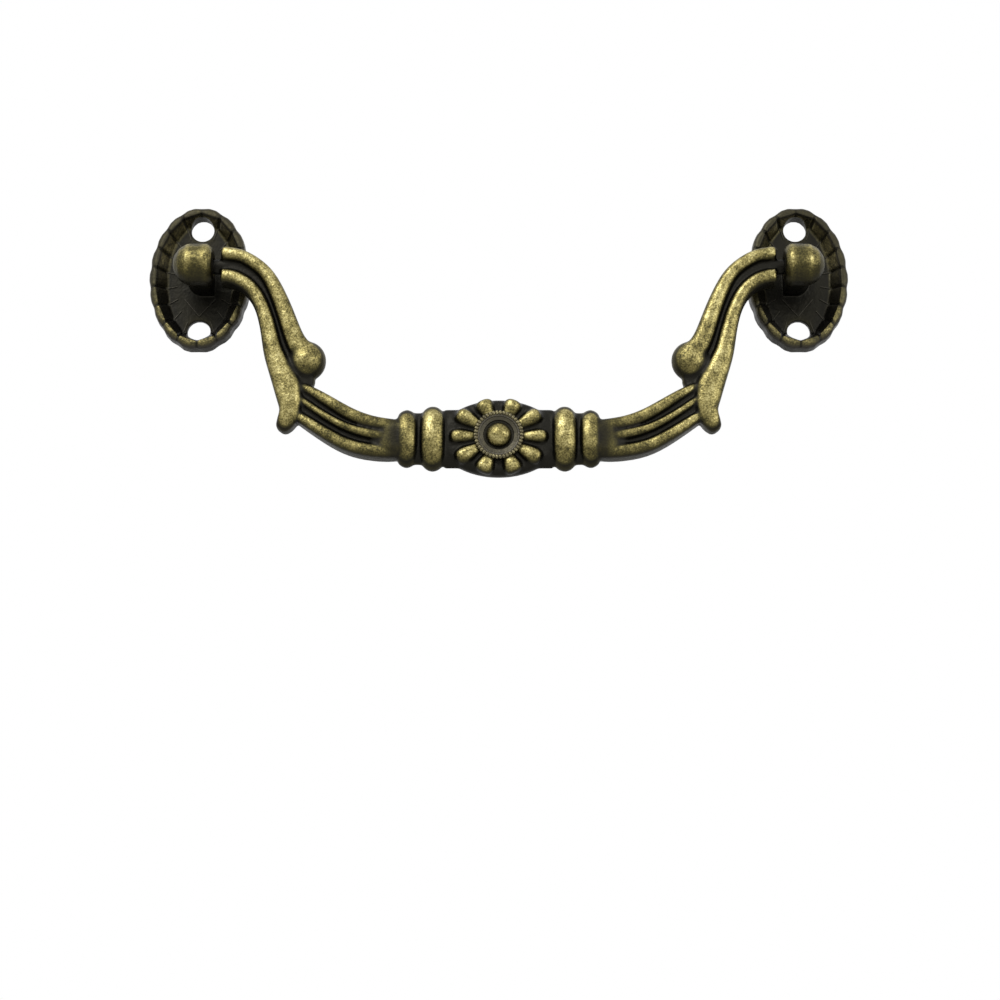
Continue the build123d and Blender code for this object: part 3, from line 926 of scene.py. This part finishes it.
def antique_brass(finish):
    """Brass-plated zinc casting, darkened and then rubbed."""
    # The eye sees near black in the hollows and sandy, uneven gold on the ridges, with a soft satin shine
    material = bpy.data.materials.new(FINISH_NAME)
    material.use_nodes = True
    tree = material.node_tree
    tree.nodes.clear()
    place = add_node(tree, "ShaderNodeTexCoord").outputs["Object"]
    # This attribute carries real wear together with painted form shading, and the painted light on the
    # plates' upper wall facet panels
    wear_and_shade = add_node(tree, "ShaderNodeAttribute", attribute_name="wear_and_shade").outputs["Fac"]
    specks = add_node(tree, "ShaderNodeTexNoise", {
        "Vector": place, "Scale": 1 / finish.speckle, "Detail": 3.0, "Roughness": 0.6})
    clouds = add_node(tree, "ShaderNodeTexNoise", {
        "Vector": place, "Scale": 1 / finish.cloud, "Detail": 2.0, "Roughness": 0.5})
    speck_share = add_node(tree, "ShaderNodeMath", {
        0: specks.outputs["Fac"], 1: SPECK_CONTRAST, 2: SPECK_LEVEL}, operation="MULTIPLY_ADD")
    uneven = add_node(tree, "ShaderNodeMath", {
        0: clouds.outputs["Fac"], 1: CLOUD_CONTRAST, 2: speck_share.outputs[0]}, operation="MULTIPLY_ADD")
    shown = add_node(tree, "ShaderNodeMath", {
        0: uneven.outputs[0], 1: wear_and_shade}, operation="MULTIPLY", use_clamp=True)
    tone = add_node(tree, "ShaderNodeValToRGB", {"Fac": shown.outputs[0]})
    stops = tone.color_ramp.elements
    stops[0].position = 0.0
    stops[0].color = (*finish.oxide, 1)
    stops[1].position = 1.0
    stops[1].color = (*finish.bright, 1)
    for position, colour in ((BRONZE_AT, finish.bronze), (BRASS_AT, finish.brass)):
        stops.new(position).color = (*colour, 1)
    tarnish = add_node(tree, "ShaderNodeAttribute", attribute_name="tarnish").outputs["Fac"]
    skin = add_node(tree, "ShaderNodeMix", {
        0: tarnish, 6: tone.outputs["Color"], 7: (*finish.pewter, 1)}, data_type="RGBA")
    gloss = add_node(tree, "ShaderNodeMapRange", {
        "Value": shown.outputs[0], "To Min": finish.oxide_roughness, "To Max": finish.brass_roughness})
    dents = add_node(tree, "ShaderNodeTexNoise", {
        "Vector": place, "Scale": 1 / finish.dent, "Detail": 2.0, "Roughness": 0.6})
    relief = add_node(tree, "ShaderNodeBump", {
        "Height": dents.outputs["Fac"], "Strength": DENT_STRENGTH, "Distance": finish.dent_depth})
    shader = add_node(tree, "ShaderNodeBsdfPrincipled", {
        "Base Color": skin.outputs[2], "Metallic": 1.0,
        "Roughness": gloss.outputs["Result"], "Normal": relief.outputs["Normal"]})
    add_node(tree, "ShaderNodeOutputMaterial", {"Surface": shader.outputs["BSDF"]})


def white_card(stage):
    """Matt white studio card."""
    # The eye sees a plain pale floor with a faint fibre, which bounces soft light and takes the shadow
    material = bpy.data.materials.new("matt_white_card")
    material.use_nodes = True
    tree = material.node_tree
    tree.nodes.clear()
    place = add_node(tree, "ShaderNodeTexCoord").outputs["Object"]
    fibre = add_node(tree, "ShaderNodeTexNoise", {
        "Vector": place, "Scale": 1 / stage.card_fibre, "Detail": 3.0})
    tint = add_node(tree, "ShaderNodeMix", {
        0: fibre.outputs["Fac"], 6: (*stage.card, 1), 7: (*stage.card_shade, 1)}, data_type="RGBA")
    shader = add_node(tree, "ShaderNodeBsdfPrincipled", {"Base Color": tint.outputs[2], "Roughness": 0.9})
    add_node(tree, "ShaderNodeOutputMaterial", {"Surface": shader.outputs["BSDF"]})
    return material


def white_room(stage):
    """White surroundings: full white where seen or mirrored, and a softer light on the object."""
    world = bpy.data.worlds.new("white_studio")
    world.use_nodes = True
    tree = world.node_tree
    tree.nodes.clear()
    path = add_node(tree, "ShaderNodeLightPath")
    seen = add_node(tree, "ShaderNodeMath", {
        0: path.outputs["Is Camera Ray"], 1: path.outputs["Is Glossy Ray"]}, operation="MAXIMUM")
    shown = add_node(tree, "ShaderNodeMath", {
        0: seen.outputs[0], 1: path.outputs["Is Transmission Ray"]}, operation="MAXIMUM")
    strength = add_node(tree, "ShaderNodeMapRange", {
        "Value": shown.outputs[0], "To Min": stage.room_light, "To Max": 1.0})
    white = add_node(tree, "ShaderNodeBackground", {
        "Color": (1, 1, 1, 1), "Strength": strength.outputs["Result"]})
    add_node(tree, "ShaderNodeOutputWorld", {"Surface": white.outputs["Background"]})
    return world


class DRAWERPULL_OT_finish(bpy.types.Operator):
    """Mix the antique brass finish that the castings share"""

    bl_idname = "drawerpull.finish"
    bl_label = "Mix the Finish"

    def execute(self, context):
        antique_brass(context.scene.drawer_pull_finish)
        return {"FINISHED"}


class DRAWERPULL_OT_bail(bpy.types.Operator):
    """Model the bail: swan-neck arms, scroll knobs, reeded bar, beads and rosette, fused as one casting"""

    bl_idname = "drawerpull.bail"
    bl_label = "Cast the Bail"

    def execute(self, context):
        sizes = context.scene.drawer_pull_bail
        disc_diameter = sizes.disc_diameter / MM
        arms = bail_side(sizes)
        use_modifier(arms, "MIRROR", use_axis=(True, False, False), use_mirror_merge=False)
        core = bead(ROSETTE_CORE_DIAMETER, *ROSETTE_CORE)
        bail = joined([arms, core, rosette_boss(), petal_ring(disc_diameter / 2)])
        bail.name = "bail_casting"
        moved(bail, (0, -PIVOT_STANDOFF, 0))
        cast(bail, sizes.grain / MM, sizes.softness)
        knob = side_point(*KNOB_CENTRE)
        filed(
            bail, lambda place: math.hypot(abs(place.x) - knob.x, place.z - knob.z) < KNOB_FILED_RADIUS,
            KNOB_FILED_PASSES)
        stored(bail, "wear_and_shade", bail_wear_and_shade(bail))
        bail = joined([bail, *rosette_middle(disc_diameter, sizes.button_diameter / MM)])
        finished(bail, "bail", "bail")
        return {"FINISHED"}


class DRAWERPULL_OT_backplates(bpy.types.Operator):
    """Model both backplates: dish, rim and post from the CAD part, with fine raised lines on the floor"""

    bl_idname = "drawerpull.backplates"
    bl_label = "Cast the Backplates"

    def execute(self, context):
        sizes = context.scene.drawer_pull_plates
        lines = floor_lines(sizes.line_width / MM)
        for node, side in (("left_backplate", -1), ("right_backplate", 1)):
            centre = Vector((side * PLATE_CENTRE, 0, 0))
            plate = cad_copy(node, node + "_casting")
            cast(plate, sizes.grain / MM, sizes.softness)
            filed_plate(plate, centre)
            wear_and_shade, tarnish = plate_wear_light_and_shade(plate, centre)
            stored(plate, "wear_and_shade", wear_and_shade)
            stored(plate, "tarnish", tarnish)
            raised = copied(lines)
            moved(raised, centre)
            plate = joined([plate, raised])
            finished(plate, "backplates", node)
        bpy.data.objects.remove(lines)
        return {"FINISHED"}


class DRAWERPULL_OT_stage(bpy.types.Operator):
    """Set up the white studio: floor, soft lamps, white surroundings and the camera"""

    bl_idname = "drawerpull.stage"
    bl_label = "Set the Stage"

    def execute(self, context):
        stage = context.scene.drawer_pull_stage
        floor = new_piece(
            bpy.ops.mesh.primitive_plane_add, size=FLOOR_SIZE, location=(0, 0, -stage.floor_drop))
        floor.name = "studio_floor"
        floor.data.materials.append(white_card(stage))

        for name, place, size, power_share in LAMPS:
            deselect()
            bpy.ops.object.light_add(type="AREA", location=place)
            lamp = context.object
            lamp.name = name
            lamp.data.energy = stage.lamp_power * power_share
            lamp.data.size = size
            lamp.rotation_euler = (LAMP_TARGET - lamp.location).to_track_quat("-Z", "Y").to_euler()

        deselect()
        bpy.ops.object.camera_add(
            location=stage.camera_place, rotation=(math.pi / 2 + stage.camera_tilt, 0, 0))
        camera = context.object
        camera.name = "photo_camera"
        camera.data.lens = stage.lens
        camera.data.sensor_width = SENSOR_WIDTH
        camera.data.clip_start = CLIP_START
        context.scene.camera = camera
        context.scene.world = white_room(stage)
        context.scene.view_settings.view_transform = "Standard"
        return {"FINISHED"}


class DRAWERPULL_PT_sidebar(bpy.types.Panel):
    """The drawer pull's sizes, finish and steps"""

    bl_idname = "DRAWERPULL_PT_sidebar"
    bl_label = "Drawer Pull"
    bl_space_type = "VIEW_3D"
    bl_region_type = "UI"
    bl_category = "Drawer Pull"

    def draw(self, context):
        for group, (_, operator) in STEPS.items():
            box = self.layout.box()
            settings = getattr(context.scene, group)
            for name in settings.bl_rna.properties.keys():
                if name not in ("rna_type", "name"):
                    box.prop(settings, name)
            box.operator(operator.bl_idname)


# Each group of settings on the scene: its class and the operator that uses it, in the order of the work
STEPS = {
    "drawer_pull_finish": (FinishSettings, DRAWERPULL_OT_finish),
    "drawer_pull_bail": (BailSettings, DRAWERPULL_OT_bail),
    "drawer_pull_plates": (BackplateSettings, DRAWERPULL_OT_backplates),
    "drawer_pull_stage": (StageSettings, DRAWERPULL_OT_stage),
}
CLASSES = [cls for step in STEPS.values() for cls in step] + [DRAWERPULL_PT_sidebar]


def register():
    """Registers the classes and hangs the settings on the scene."""
    for cls in CLASSES:
        bpy.utils.register_class(cls)
    for name, (group, _) in STEPS.items():
        setattr(bpy.types.Scene, name, PointerProperty(type=group))


def unregister():
    """Takes the settings and the classes off again."""
    for name in STEPS:
        delattr(bpy.types.Scene, name)
    for cls in reversed(CLASSES):
        bpy.utils.unregister_class(cls)


def main():
    """Builds the pull and its studio."""
    register()
    bpy.ops.drawerpull.finish()
    bpy.ops.drawerpull.bail()
    bpy.ops.drawerpull.backplates()
    bpy.ops.drawerpull.stage()


if __name__ == "__main__":
    main()
